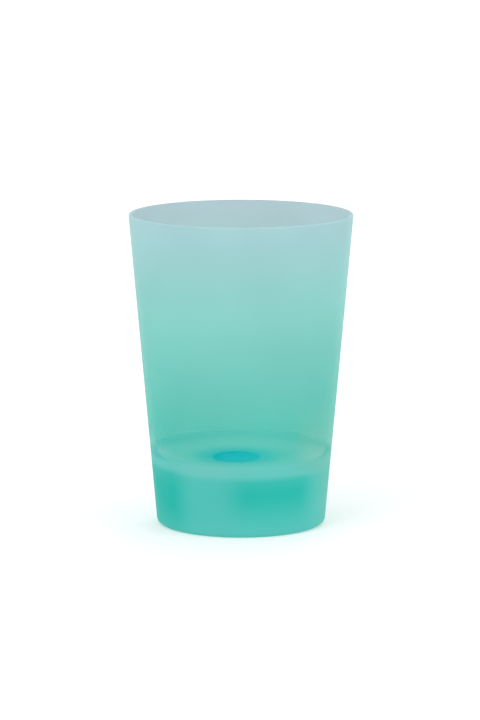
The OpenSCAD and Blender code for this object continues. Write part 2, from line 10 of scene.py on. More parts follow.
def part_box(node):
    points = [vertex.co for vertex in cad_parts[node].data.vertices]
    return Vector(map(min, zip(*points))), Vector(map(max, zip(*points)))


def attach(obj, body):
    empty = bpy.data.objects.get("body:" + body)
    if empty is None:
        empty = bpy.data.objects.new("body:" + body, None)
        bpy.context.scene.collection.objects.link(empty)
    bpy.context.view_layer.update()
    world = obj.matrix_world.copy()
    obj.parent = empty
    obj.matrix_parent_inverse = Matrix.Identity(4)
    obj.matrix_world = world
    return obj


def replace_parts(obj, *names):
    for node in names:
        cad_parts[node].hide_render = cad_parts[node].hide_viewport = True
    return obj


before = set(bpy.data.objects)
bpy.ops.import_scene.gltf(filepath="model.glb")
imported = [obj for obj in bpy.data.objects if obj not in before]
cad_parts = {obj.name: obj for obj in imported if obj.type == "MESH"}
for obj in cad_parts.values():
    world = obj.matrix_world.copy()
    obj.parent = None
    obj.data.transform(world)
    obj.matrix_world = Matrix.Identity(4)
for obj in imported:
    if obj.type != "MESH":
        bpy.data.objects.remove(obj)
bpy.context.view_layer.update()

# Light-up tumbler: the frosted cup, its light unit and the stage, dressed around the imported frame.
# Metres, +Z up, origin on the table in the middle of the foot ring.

bl_info = {
    "name": "Light-up tumbler",
    "version": (1, 0, 0),
    "blender": (4, 5, 0),
    "location": "3D View > Sidebar > Tumbler",
    "description": "Makes the frosted light-up tumbler, its light unit and a plain stage",
    "category": "Object",
}

MM = 0.001
WELD = 0.001 * MM        # points closer than this become one

# Places that the frame gives
CUP_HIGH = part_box("cup_body")[1]
LENS_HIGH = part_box("light_lens")[1]
GASKET_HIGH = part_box("lens_gasket")[1]
SEAL_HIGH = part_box("base_seal")[1]
BOARD_LOW, BOARD_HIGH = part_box("circuit_board")
CHIP_LOW, CHIP_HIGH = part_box("controller_chip")
CAPACITOR_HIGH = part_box("capacitor")[1]
CONTACT_LOW, CONTACT_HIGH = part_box("positive_contact")
SWITCH_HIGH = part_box("switch_plate")[1]
COVER_SCREWS_LOW, COVER_SCREWS_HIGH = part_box("cover_screws")
UNIT_SCREWS_LOW, UNIT_SCREWS_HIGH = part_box("unit_screws")

# Directions of what stands round the axis
LAMP_ANGLES = [math.radians(a) for a in (90, 210, 330)]
BOSS_ANGLES = [math.radians(a) for a in (30, 150, 270)]
POST_ANGLES = [math.radians(a) for a in (270, -8, 188)]
RESISTOR_ANGLES = [math.radians(a) for a in (218, 236, 304)]
CAPACITOR_ANGLE = math.radians(325)

# Parts of the cup's section, in the order of its materials
REGIONS = ("outside", "inside", "floor", "base")
BASE = REGIONS.index("base")


def length(name, description, size):
    """A length, given in millimetres."""
    return FloatProperty(name=name, description=description, default=size * MM, unit="LENGTH", precision=5)


def angle(name, description, degrees):
    """An angle, given in degrees."""
    return FloatProperty(name=name, description=description, default=math.radians(degrees), unit="ROTATION")


def colour(name, description, default):
    """A colour in linear light."""
    return FloatVectorProperty(
        name=name, description=description, default=default, subtype="COLOR", size=3, min=0.0, max=1.0
    )


def share(name, description, default):
    """A share between 0 and 1."""
    return FloatProperty(
        name=name, description=description, default=default, subtype="FACTOR", min=0.0, max=1.0
    )


def number(name, description, default, low, high):
    """A plain number and its limits."""
    return FloatProperty(name=name, description=description, default=default, min=low, max=high)


def count(name, description, default, low, high):
    """A whole number and its limits."""
    return IntProperty(name=name, description=description, default=default, min=low, max=high)


class TumblerCup(PropertyGroup):
    """Sizes of the cup's moulding."""

    height: length("Height", "From the table to the lip", CUP_HIGH.z / MM)
    rim_radius: length("Rim radius", "Outer radius at the lip", CUP_HIGH.x / MM)
    base_radius: length("Base radius", "Outer radius at the table, before the foot is rounded", 30.75)
    wall_rim: length("Wall at the lip", "Its thickness at the lip", 1.6)
    wall_low: length("Wall at the floor", "Its thickness at the inner floor", 2.2)
    floor_height: length("Floor height", "Height of the inner floor", LENS_HIGH.z / MM)
    cove_radius: length("Cove", "Radius between the inner floor and the wall", 5)
    foot_radius: length("Foot", "Radius of the rounded foot", 2.2)
    window_radius: length("Window hole", "Radius of the hole for the window", 8.25)
    turns: count("Segments", "Segments round the cup", 192, 48, 384)


class TumblerBase(PropertyGroup):
    """Sizes of the compartment inside the skirt."""

    mouth_radius: length("Mouth radius", "Radius of the mouth that takes the cover", 27.7)
    mouth_break: length("Mouth edge", "Edge broken round the mouth", 0.2)
    ledge_height: length("Ledge height", "Height of the ledge over the seal", SEAL_HIGH.z / MM + 0.05)
    cavity_radius: length("Compartment radius", "Radius of the compartment at its ledge", 26.7)
    cavity_draft: angle("Draft", "Draft of the compartment's wall", 0.5)
    ceiling_height: length("Ceiling height", "Height of the compartment's ceiling", GASKET_HIGH.z / MM)
    ceiling_round: length("Ceiling round", "Radius between its wall and its ceiling", 1)
    boss_low: length("Boss height", "Height of a long boss's lower end", 4.25)
    boss_radius: length("Boss radius", "Radius of a long boss at its lower end", 2.8)
    boss_widening: length("Boss widening", "How much a long boss widens upwards", 0.3)
    boss_hole: length("Boss hole", "Radius of the hole in a long boss", 1.1)
    boss_fillet: length("Boss fillet", "Radius at the root of a boss", 0.6)
    rib_width: length("Rib", "Thickness of a long boss's rib", 1.2)
    post_radius: length("Post radius", "Radius of a short boss over the board", 2.2)


class TumblerBoard(PropertyGroup):
    """Sizes of what stands on the circuit board."""

    lamp_ring: length("Lamp ring", "Distance of the lamps from the middle", 3.6)
    lead_pitch: length("Lead pitch", "Distance between a lamp's two leads", 1.8)
    resistor_length: length("Resistor length", "Length of a resistor", 2)
    resistor_width: length("Resistor width", "Width of a resistor", 1.25)
    resistor_height: length("Resistor height", "Height of a resistor", 0.5)
    capacitor_length: length("Capacitor length", "Length of the capacitor", 3.2)
    capacitor_width: length("Capacitor width", "Width of the capacitor", 1.6)
    cap_length: length("End cap", "Length of its tinned ends", 0.35)
    cap_proud: length("End cap step", "How far a tinned end stands proud", 0.02)
    strip: length("Contact strip", "Thickness of the contact strips", 0.3)
    joint_radius: length("Solder joint", "Radius of a small solder joint", 0.45)
    joint_height: length("Solder height", "Height of a small solder joint", 0.3)
    tail_joint: length("Tail joint", "Radius of the solder round a contact's tail", 1.15)
    edge_round: length("Edges", "Radius of its edges", 0.05)
    lead_pad: length("Lead pad", "Its radius at a lead or a foot", 0.62)
    end_pad: length("End pad", "Its radius at a resistor's or capacitor's end", 0.75)
    tail_pad: length("Tail pad", "Its radius at a contact's tail", 1.5)
    screw_pad: length("Screw pad", "Its radius at a screw", 2)


class TumblerScrew(PropertyGroup):
    """Sizes of the screws."""

    head_radius: length("Head radius", "Radius of a screw's head", 2)
    head_height: length("Head height", "Height of a screw's head", 1.3)
    crest_radius: length("Thread radius", "Radius at the thread's crest", 1)
    root_radius: length("Core radius", "Radius at the thread's root", 0.76)
    pitch: length("Pitch", "Distance between two turns of the thread", 0.75)
    recess_reach: length("Recess reach", "Its reach from the middle", 1.15)
    recess_width: length("Recess width", "Width of its arms", 0.55)
    recess_depth: length("Recess depth", "Its depth", 0.8)


class TumblerFinish(PropertyGroup):
    """Colours of the finishes."""

    # Many of the cup's colours hold painted light and shade: the lamps' glow fading up the wall, a glowing
    # rim and a paler side of the skirt, and the lit inner floor
    frost: colour("Frost", "Frosted plastic at the lip", (0.395, 0.645, 0.670))
    shade: colour("Shade", "Inside of the cup at the lip", (0.540, 0.600, 0.690))
    aqua: colour("Aqua", "Frosted plastic half way up", (0.235, 0.640, 0.580))
    glow: colour("Glow", "Frosted plastic just above the inner floor", (0.0, 0.515, 0.412))
    skirt: colour("Skirt", "Skirt round the light unit", (0.020, 0.490, 0.412))
    foot: colour("Foot", "Foot of the skirt", (0.105, 0.556, 0.506))
    rim_glow: colour("Rim", "Skirt at the height of the inner floor", (0.155, 0.580, 0.540))
    pale_side_light: colour("Pale side", "Skirt and wall on the right", (0.155, 0.530, 0.430))
    floor: colour("Floor", "Inner floor round the window", (0.270, 0.650, 0.620))
    floor_edge_light: colour("Floor's edge", "Inner floor at the wall", (0.450, 0.700, 0.660))
    window: colour("Window", "Light in the window", (0.0, 0.270, 0.560))
    window_spot: colour("Lit spot", "Light in the window over a lamp", (0.0, 0.420, 0.740))
    milk: colour("Milk", "White moulded plastic", (0.800, 0.830, 0.815))
    button: colour("Button", "Push button", (0.420, 0.760, 0.740))
    steel: colour("Steel", "Plated steel", (0.600, 0.610, 0.620))
    nickel: colour("Nickel", "Cans of the cells", (0.640, 0.620, 0.580))
    tin: colour("Tin", "Solder and tinned ends", (0.700, 0.700, 0.680))
    mask: colour("Solder mask", "Lacquer on the circuit board", (0.015, 0.130, 0.050))
    trace: colour("Trace", "Copper under the lacquer", (0.050, 0.290, 0.120))
    epoxy: colour("Black epoxy", "Chip and switch", (0.018, 0.018, 0.020))
    ceramic: colour("Ceramic", "Body of the capacitor", (0.380, 0.240, 0.120))
    red_lamp: colour("Red lamp", "Epoxy of the red lamp", (0.620, 0.035, 0.030))
    green_lamp: colour("Green lamp", "Epoxy of the green lamp", (0.030, 0.600, 0.120))
    blue_lamp: colour("Blue lamp", "Epoxy of the blue lamp", (0.040, 0.160, 0.800))
    gasket: colour("Gasket", "Ring under the floor", (0.580, 0.620, 0.620))
    silicone: colour("Silicone", "Seal of the cover and ring of the button", (0.500, 0.560, 0.560))
    laminate: colour("Laminate", "Cut edge of the circuit board", (0.420, 0.380, 0.180))
    mark: colour("Mark", "Mark at the chip's first leg", (0.070, 0.070, 0.070))


class TumblerLight(PropertyGroup):
    """How the lamps light the frosted plastic, and how much light it stops."""

    glow_height: length("Glow's height", "Top of the even glow, over the inner floor", 10)
    aqua_height: length("Aqua's height", "Where the wall is aqua, over the inner floor", 55)
    lit_lip: share("Lit at the lip", "How much of its colour shines by itself", 0.22)
    lit_low: share("Lit at the floor", "The same, low in the wall", 0.55)
    lit_inside: share("Lit floor", "The same, in the inner floor", 0.8)
    solid_low: share("Outside", "Opacity of the wall's outside at the inner floor", 0.645)
    solid_rise: share("Outside's rise", "What it gains up to the lip", 0.17)
    solid_edge: share("Outside's edge", "What it gains before the floor's edge", 0.325)
    solid_inside: share("Inside", "Opacity of the wall's inside at the inner floor", 0.15)
    solid_lip: share("Inside at the lip", "The same, at the lip", 0.35)
    solid_base: share("Base", "Opacity of the base and of the inner floor", 0.96)
    # The bands are painted shade, where the light unit stands behind the skirt
    shade_bands: count("Bands", "Dark bands round the skirt", 4, 0, 12)
    shade_band_turn: angle("Band's place", "From the front to the middle of the first band", 22)
    shade_band_reach: length("Band's reach", "How much further down they reach on the left", 5.5)
    spot_shift: length("Light's shift", "How far the light in the floor lies beside the middle", -1.8)
    spot_radius: length("Light's radius", "Half the width of that light", 9.2)
    spot_squash: share("Light's squash", "Its width over its length", 0.8)
    halo_width: length("Halo", "Width of its halo", 9)
    halo: share("Halo's strength", "How much of its colour the halo has", 0.45)


class TumblerStage(PropertyGroup):
    """Camera and studio."""

    aim_height: length("Aim height", "Height that the camera aims at", 57)
    distance: length("Distance", "From the camera to the aim point", 1372.2)
    pitch: angle("Pitch", "How far the camera looks down", 9.618)
    lens: number("Lens", "Focal length in millimetres", 187.76, 20, 400)
    shift_right: number("Shift X", "Sideways shift of the view", -0.0014, -1, 1)
    shift_up: number("Shift Y", "Upward shift of the view", 0.0112, -1, 1)
    floor_size: length("Floor size", "Width of the floor", 12000)
    sky: number("Studio", "Strength of the even studio light", 0.82, 0, 2)
    lamps: number("Lamps", "Strength of the three soft lamps", 12, 0, 100)
    paper: colour("Paper", "Colour of the floor", (0.860, 0.860, 0.860))
    paper_glow: share("Paper's glow", "What it adds to render white", 0.2)
    open_radius: length("Opening", "Radius inside which light comes from beneath", 28)


def around(turn, ring, height=0.0):
    """The place at that angle on a ring round the axis."""
    return Vector((ring * math.cos(turn), ring * math.sin(turn), height))


def arc(centre, radius, start, end, steps):
    """Points of an arc in the (radius, height) plane, angles in degrees."""
    r, z = centre
    angles = [math.radians(start + (end - start) * i / steps) for i in range(steps + 1)]
    return [(r + radius * math.cos(a), z + radius * math.sin(a)) for a in angles]


def stretch(start, end, rows):
    """Points along a straight line, without its first."""
    return [
        (start[0] + (end[0] - start[0]) * i / rows, start[1] + (end[1] - start[1]) * i / rows)
        for i in range(1, rows + 1)
    ]


def lathe(parts, turns, closed=True):
    """A mesh turned about +Z from parts of an outline, each a material index and its points."""
    outline = [(p, index) for index, points in parts for p in points]
    mesh = bmesh.new()
    rings = []
    for (r, z), _ in outline:
        angles = [2 * math.pi * i / turns for i in range(turns if r else 1)]
        rings.append([mesh.verts.new(around(a, r, z)) for a in angles])
    pairs = list(zip(range(len(rings) - 1), range(1, len(rings))))
    if closed:
        pairs.append((len(rings) - 1, 0))
    for low, high in pairs:
        for i in range(turns):
            j = (i + 1) % turns
            places = ((low, i), (low, j), (high, j), (high, i))
            corners = list(dict.fromkeys(rings[row][k % len(rings[row])] for row, k in places))
            if len(corners) > 2:
                mesh.faces.new(corners).material_index = outline[high][1]
    bmesh.ops.recalc_face_normals(mesh, faces=mesh.faces)
    return mesh


def add_block(mesh, low, high, index=0, place=None):
    """Adds a box between two corners to a mesh."""
    low, high = Vector(low), Vector(high)
    form = Matrix.Translation((low + high) / 2) @ Matrix.Diagonal((*(high - low), 1))
    made = bmesh.ops.create_cube(mesh, size=1, matrix=(place or Matrix()) @ form)
    for face in {f for v in made["verts"] for f in v.link_faces}:
        face.material_index = index


def make_object(name, mesh, materials, sharp=30):
    """An object from a bmesh, smooth but for edges sharper than that many degrees."""
    data = bpy.data.meshes.new(name)
    mesh.to_mesh(data)
    mesh.free()
    for material in materials:
        data.materials.append(material)
    data.shade_smooth()
    data.set_sharp_from_angle(angle=math.radians(sharp))
    made = bpy.data.objects.new(name, data)
    bpy.context.scene.collection.objects.link(made)
    return made


def combine(target, tools, operation, sharp=30):
    """Joins the tools to the target, or cuts them from it, and removes them."""
    group = bpy.data.collections.new("tools")
    scene = bpy.context.scene.collection
    scene.children.link(group)
    for tool in tools:
        scene.objects.unlink(tool)
        group.objects.link(tool)
    step = target.modifiers.new("combine", "BOOLEAN")
    step.operation, step.solver = operation, "EXACT"
    step.operand_type, step.collection = "COLLECTION", group
    graph = bpy.context.evaluated_depsgraph_get()
    data = bpy.data.meshes.new_from_object(target.evaluated_get(graph))
    target.modifiers.remove(step)
    clean = bmesh.new()
    clean.from_mesh(data)
    bmesh.ops.remove_doubles(clean, verts=clean.verts, dist=WELD)
    clean.to_mesh(data)
    clean.free()
    old, target.data = target.data, data
    data.name = target.name
    data.shade_smooth()
    data.set_sharp_from_angle(angle=math.radians(sharp))
    bpy.data.meshes.remove(old)
    for tool in tools:
        bpy.data.meshes.remove(tool.data)
    bpy.data.collections.remove(group)


class Nodes:
    """A node tree, with short ways to add and join its nodes."""

    def __init__(self, tree):
        self.nodes = tree.nodes
        self.links = tree.links

    def add(self, kind, inputs, **settings):
        """A shader node of that kind, with its settings and its inputs."""
        node = self.nodes.new("ShaderNode" + kind)
        for name, value in settings.items():
            setattr(node, name, value)
        for key, value in inputs.items():
            self.feed(node.inputs[key], value)
        return node

    def feed(self, socket, value):
        """Links a socket to another, or sets its value."""
        if isinstance(value, bpy.types.NodeSocket):
            self.links.new(value, socket)
        elif hasattr(value, "__len__") and socket.type == "RGBA":
            socket.default_value = (*value[:3], 1)
        else:
            socket.default_value = value

    def math(self, operation, *values):
        """The output of a Math node."""
        return self.add("Math", dict(enumerate(values)), operation=operation).outputs[0]

    def vector(self, operation, *values):
        """The output of a Vector Math node."""
        output = "Value" if operation in ("LENGTH", "DISTANCE") else "Vector"
        return self.add("VectorMath", dict(enumerate(values)), operation=operation).outputs[output]

    def fade(self, value, start, end, low=0.0, high=1.0):
        """A smooth step from low at start to high at end."""
        if start > end:
            start, end, low, high = end, start, high, low
        inputs = {0: value, 1: start, 2: end, 3: low, 4: high}
        return self.add("MapRange", inputs, interpolation_type="SMOOTHSTEP").outputs[0]

    def below(self, value, limit, soft):
        """1 below a limit and 0 above it, with an edge that is soft to both sides."""
        return self.fade(value, limit + soft, limit - soft)

    def product(self, total, *others):
        """The product of several values."""
        for value in others:
            total = self.math("MULTIPLY", total, value)
        return total

    def slope(self, value, start, end):
        """A straight run from 0 at start to 1 at end."""
        return self.add("MapRange", {0: value, 1: start, 2: end}).outputs[0]

    def mix(self, part, first, second):
        """A colour between two, by that share."""
        return self.add("Mix", {0: part, 6: first, 7: second}, data_type="RGBA").outputs[2]


class Finish(Nodes):
    """A material's nodes, with the place on the object that they read."""

    def __init__(self, name):
        self.material = bpy.data.materials.new(name)
        self.material.use_nodes = True
        super().__init__(self.material.node_tree)
        self.shader = self.nodes["Principled BSDF"]
        self.place = self.add("TexCoord", {}).outputs["Object"]
        self.x, self.y, self.z = self.add("SeparateXYZ", {0: self.place}).outputs
        scene = bpy.context.scene
        self.cup, self.look, self.light = scene.tumbler_cup, scene.tumbler_finish, scene.tumbler_light

    def surface(self, **inputs):
        """Sets the shader's own sockets, named with underscores for spaces."""
        for name, value in inputs.items():
            self.feed(self.shader.inputs[name.replace("_", " ")], value)

    def noise(self, grain, detail=2.0, place=None):
        """Noise of that grain in metres, about 0.5."""
        inputs = {"Vector": place or self.place, "Scale": 1 / grain, "Detail": detail}
        return self.add("TexNoise", inputs).outputs["Fac"]

    def blotches(self, grain, low, high, detail=2.0, reach=0.2):
        """Soft blotches of that grain in metres, between two values."""
        return self.fade(self.noise(grain, detail), 0.5 - reach, 0.5 + reach, low, high)

    def relief(self, height, depth, strength=1.0, edge=None):
        """Bumps of that depth in metres, over edges rounded by the radius edge."""
        inputs = {"Height": height, "Distance": depth, "Strength": strength}
        if edge:
            inputs["Normal"] = self.add("Bevel", {"Radius": edge}, samples=4).outputs[0]
        return self.add("Bump", inputs).outputs[0]


def frosted_plastic(name, region):
    """Satin frosted plastic, lit through by the lamps in the base, for one of the regions."""
    f = Finish(name)
    cup, look, light = f.cup, f.look, f.light
    low = cup.floor_height
    middle = low + light.aqua_height
    # The lamps' light is painted into the colour: from the floor up it fades from glow through aqua to
    # frost at the lip
    lower = f.mix(f.slope(f.z, low + light.glow_height, middle), look.glow, look.aqua)
    tint = f.mix(f.slope(f.z, middle, cup.height), lower, look.frost)
    lit = f.fade(f.z, cup.height, low, light.lit_lip, light.lit_low)
    if region in ("inside", "floor"):
        # Inside, painted light and shade: the shade colour towards the lip, and near the floor the painted
        # light of the inner floor, which also shines more
        tint = f.mix(f.fade(f.z, middle, cup.height), tint, look.shade)
        tint = f.mix(f.fade(f.z, low + 6 * MM, low + 4 * MM), tint, lit_floor(f))
        lit = f.math("MAXIMUM", lit, f.fade(f.z, low + 6 * MM, low + 3 * MM, 0.0, light.lit_inside))
    else:
        tint = skirt_tint(f, tint)
    cloud = f.blotches(38 * MM, 0.965, 1.035, detail=1.5)
    tint = f.vector("SCALE", tint, (0, 0, 0), (0, 0, 0), cloud)

    # A painted glow: some of its colour shines by itself, most near the lamps, and the rest takes the
    # studio's light
    f.surface(Base_Color=f.mix(lit, tint, (0, 0, 0)), Emission_Color=f.mix(lit, (0, 0, 0), tint))
    f.surface(Emission_Strength=1.0, IOR=1.49, Specular_IOR_Level=0.07, Alpha=opacity(f, region))
    f.surface(Roughness=f.blotches(6 * MM, 0.48, 0.58, reach=0.15))
    f.surface(Normal=f.relief(f.noise(0.5 * MM, 3.0), 0.004 * MM, 0.5))
    return f.material


def before_floor(f):
    """1 where the outside stands before the edge of the inner floor, and 0 higher up."""
    low = f.cup.floor_height
    return f.fade(f.z, low + 5 * MM, low + 1.5 * MM)


def opacity(f, region):
    """How much light the plastic stops: most of it at the wall's outside, and nearly all in the base."""
    cup, light = f.cup, f.light
    low = cup.floor_height
    if region == "outside":
        wall = f.math("MULTIPLY_ADD", f.slope(f.z, low, cup.height), light.solid_rise, light.solid_low)
        return f.math("MULTIPLY_ADD", before_floor(f), light.solid_edge, wall)
    if region == "inside":
        return f.fade(f.z, low, cup.height, light.solid_inside, light.solid_lip)
    if region == "floor":
        return f.fade(f.z, low, low + cup.cove_radius, light.solid_base, light.solid_inside)
    return light.solid_base


def skirt_tint(f, tint):
    """The wall's colour with the skirt under it, with painted shade and light: dark bands of painted shade,
    a pale rim of painted light at the floor and a pale side of painted light.
    """
    look, light = f.look, f.light
    low = f.cup.floor_height

    # Painted shade: dark bands, where the light unit stands close behind the skirt and shades it. On the
    # left they reach further down, and the skirt ends a little higher
    turn = f.math("ARCTAN2", f.x, f.math("MULTIPLY", f.y, -1.0))
    shade_bands = f.math("COSINE", f.product(f.math("SUBTRACT", turn, light.shade_band_turn), light.shade_bands))
    reach = f.math("ADD", f.z, f.fade(f.x, 0, -20 * MM, 0, light.shade_band_reach))
    level = f.math("SUBTRACT", f.z, f.fade(f.x, -14 * MM, -30 * MM, 0.0, 1.3 * MM))
    depth = f.product(
        f.fade(reach, -2 * MM, 18 * MM),
        f.fade(shade_bands, -1.0, 0.4, 0.25, 1.0),
        f.fade(level, low - 9 * MM, low - 3 * MM, 1.0, 0.75),
    )
    skirt = f.mix(depth, look.foot, look.skirt)
    tint = f.mix(f.fade(level, low + 0.5 * MM, low - 3.5 * MM), tint, skirt)

    # Painted light: a pale rim glowing before the edge of the inner floor, which climbs on the left
    climb = f.product(f.fade(f.z, low + 11 * MM, low + 5 * MM, 0.0, 0.7), f.fade(f.x, -23 * MM, -31 * MM))
    rim_glow = f.product(
        f.math("MAXIMUM", before_floor(f), climb),
        f.fade(level, low - 4 * MM, low - 0.7 * MM),
        f.fade(shade_bands, -1.0, 0.5, 1.0, 0.85),
    )
    tint = f.mix(rim_glow, tint, look.rim_glow)

    # Painted light: the right side is paler, and above the floor a broader strip of it than in the skirt
    across = f.math("ADD", f.x, f.fade(f.z, low - 4 * MM, low + 1 * MM, 0.0, 7 * MM))
    side = f.product(f.fade(across, 24 * MM, 34 * MM), f.fade(f.z, low + 30 * MM, low, 0.0, 0.75))
    return f.mix(side, tint, look.pale_side_light)


def lit_floor(f):
    """The painted light on the inner floor: the lamps' light in the middle, its halo, and paler to the
    wall.
    """
    look, light = f.look, f.light
    radius = f.vector("LENGTH", f.vector("MULTIPLY", f.place, (1, 1, 0)))
    floor = f.mix(f.fade(radius, 9 * MM, 27 * MM), look.floor, look.floor_edge_light)
    away = f.vector("SUBTRACT", f.place, (light.spot_shift, 0, 0))
    away = f.vector("LENGTH", f.vector("MULTIPLY", away, (1, light.spot_squash, 0)))
    halo = f.fade(away, light.spot_radius + light.halo_width, light.spot_radius, 0.0, light.halo)
    core = f.below(away, light.spot_radius, 1 * MM)
    return f.mix(f.math("MAXIMUM", halo, core), floor, look.window)


def window_plastic():
    """Clear plastic over the lamps, brightest over the two that are lit."""
    ring = bpy.context.scene.tumbler_board.lamp_ring
    f = Finish("window_plastic")
    spots = 0.0
    for turn in LAMP_ANGLES[1:]:
        away = f.vector("DISTANCE", f.place, around(turn, ring, LENS_HIGH.z))
        spots = f.math("ADD", f.fade(away, 4.2 * MM, 0.4 * MM), spots)
    core = f.mix(f.product(spots, 0.5), lit_floor(f), f.look.window_spot)
    f.surface(Base_Color=f.mix(0.8, core, (0, 0, 0)), Emission_Color=core, Emission_Strength=0.9)
    f.surface(Roughness=f.blotches(0.8 * MM, 0.22, 0.34), IOR=1.49, Specular_IOR_Level=0.03)
    f.surface(Normal=f.relief(f.noise(0.5 * MM), 0.01 * MM, 0.5, 0.15 * MM))
    return f.material


def dimmed(tint, part):
    """A colour at that part of its light."""
    return tuple(light * part for light in tint)


def moulded_plastic(name, tint, rough=0.42, glow=0.0, edge=0.12):
    """Moulded plastic with a fine spark-eroded texture and soft edges."""
    f = Finish(name)
    clouded = f.mix(f.blotches(14 * MM, 0.0, 1.0, reach=0.3), tint, dimmed(tint, 0.965))
    f.surface(Base_Color=clouded, IOR=1.5)
    f.surface(Roughness=f.blotches(1.2 * MM, rough - 0.05, rough + 0.07))
    f.surface(Normal=f.relief(f.noise(0.22 * MM, 3.0), 0.004 * MM, 0.7, edge * MM))
    # Parts with a glow take a painted glow, shining a little by themselves
    if glow:
        f.surface(Emission_Color=clouded, Emission_Strength=glow)
    return f.material


def plated_steel(name, tint, streak=(1, 1, 12), rough=0.3, edge=0.08):
    """Plated sheet or turned steel with fine drawn lines."""
    f = Finish(name)
    steel_nodes(f, tint, streak, rough, edge)
    return f.material


def steel_nodes(f, tint, streak, rough, edge):
    """Makes a finish plated metal and returns its colour, for a mark on it."""
    drawn = f.noise(0.5 * MM, 3.0, f.vector("MULTIPLY", f.place, streak))
    plate = f.mix(f.fade(f.noise(3 * MM), 0.35, 0.75), tint, dimmed(tint, 0.82))
    f.surface(Base_Color=plate, Metallic=1.0)
    f.surface(Roughness=f.fade(drawn, 0.3, 0.7, rough - 0.07, rough + 0.1))
    f.surface(Normal=f.relief(drawn, 0.003 * MM, 0.6, edge * MM))
    return plate


def cell_nickel(node):
    """The can of a button cell, with the dark seal between its cap and its edge."""
    low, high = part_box(node)
    f = Finish(node + "_nickel")
    plate = steel_nodes(f, f.look.nickel, (12, 1, 1), 0.26, 0.1)
    middle = (0, (low.y + high.y) / 2, (low.z + high.z) / 2)
    away = f.vector("LENGTH", f.vector("MULTIPLY", f.vector("SUBTRACT", f.place, middle), (0, 1, 1)))
    seal = (high.y - low.y) / 2 - 1.1 * MM
    width, soft = 0.4 * MM, 0.05 * MM
    ring = f.product(f.fade(away, seal - soft, seal), f.fade(away, seal + width + soft, seal + width))
    face = f.fade(f.x, high.x - 0.4 * MM, high.x - 0.35 * MM)
    f.surface(Base_Color=f.mix(f.product(ring, face), plate, f.look.epoxy))
    return f.material


def lamp_epoxy(name, tint, glow):
    """Tinted epoxy, lit from its middle where the lamp is on, over two tinned leads."""
    f = Finish(name)
    lead = f.below(f.z, BOARD_HIGH.z, 0.02 * MM)
    body = f.mix(f.slope(f.z, BOARD_HIGH.z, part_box("led_red")[1].z), dimmed(tint, 0.7), tint)
    f.surface(Base_Color=f.mix(lead, body, f.look.tin), Alpha=f.fade(lead, 0.0, 1.0, 0.82, 1.0))
    f.surface(Roughness=f.blotches(0.8 * MM, 0.10, 0.20), IOR=1.54)
    f.surface(Normal=f.relief(f.noise(0.4 * MM), 0.002 * MM, 0.4, 0.1 * MM))
    if glow:
        f.surface(Emission_Color=f.mix(lead, body, (0, 0, 0)), Emission_Strength=glow)
    return f.material


def chip_epoxy():
    """The chip's black epoxy with tinned legs and a small mark at its first leg."""
    f = Finish("chip_epoxy")
    middle = (CHIP_LOW.y + CHIP_HIGH.y) / 2
    housing, soft = CHIP_HIGH.y - middle - 0.5 * MM, 0.02 * MM
    reach = f.math("ABSOLUTE", f.math("SUBTRACT", f.y, middle))
    leg = f.fade(reach, housing - soft, housing + soft)
    spot = (CHIP_LOW.x + 0.7 * MM, middle - 0.9 * MM, CHIP_HIGH.z)
    mark = f.below(f.vector("DISTANCE", f.place, spot), 0.29 * MM, 0.03 * MM)
    black = f.mix(mark, f.look.epoxy, f.look.mark)
    f.surface(Base_Color=f.mix(leg, black, f.look.tin), Roughness=f.blotches(0.5 * MM, 0.38, 0.52))
    f.surface(Normal=f.relief(f.noise(0.15 * MM, 3.0), 0.003 * MM, 0.7, 0.08 * MM))
    return f.material


def board_lacquer(spots):
    """Green lacquer over copper traces, with tinned pads, each its place and radius."""
    f = Finish("board_lacquer")
    look = f.look
    maze = {"Vector": f.place, "Color1": (0, 0, 0), "Color2": (0, 0, 0), "Mortar": (1, 1, 1), "Scale": 1}
    maze |= {"Mortar Size": 0.16 * MM, "Mortar Smooth": 0.1}
    maze |= {"Brick Width": 2.3 * MM, "Row Height": 1.15 * MM}
    copper = f.add("TexBrick", maze).outputs["Color"]
    tint = f.mix(copper, look.mask, look.trace)
    pads = 0.0
    flat = f.vector("MULTIPLY", f.place, (1, 1, 0))
    for place, radius in spots:
        away = f.vector("DISTANCE", flat, place)
        pads = f.math("MAXIMUM", f.below(away, radius, 0.03 * MM), pads)
    face = f.math("ABSOLUTE", f.math("SUBTRACT", f.z, (BOARD_LOW.z + BOARD_HIGH.z) / 2))
    edge = f.math("LESS_THAN", face, (BOARD_HIGH.z - BOARD_LOW.z) * 0.49)
    tint = f.mix(edge, f.mix(pads, tint, look.tin), look.laminate)
    f.surface(Base_Color=tint, Roughness=f.blotches(2 * MM, 0.26, 0.36), IOR=1.5)
    f.surface(Normal=f.relief(copper, 0.02 * MM, 0.5, 0.08 * MM))
    return f.material


class TUMBLER_OT_cup(Operator):
    """Make the cup's moulding, with the compartment, bosses and ribs under its floor."""

    bl_idname = "tumbler.make_cup"
    bl_label = "Cup"

    def execute(self, context):
        cup, base = context.scene.tumbler_cup, context.scene.tumbler_base
        looks = [frosted_plastic("frosted_" + region, region) for region in REGIONS]
        body = make_object("frosted_cup", lathe(cup_outline(cup, base), cup.turns), looks)
        combine(body, bosses(cup, base, looks), "UNION")
        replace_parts(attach(body, "cup"), "cup_body")
        return {"FINISHED"}


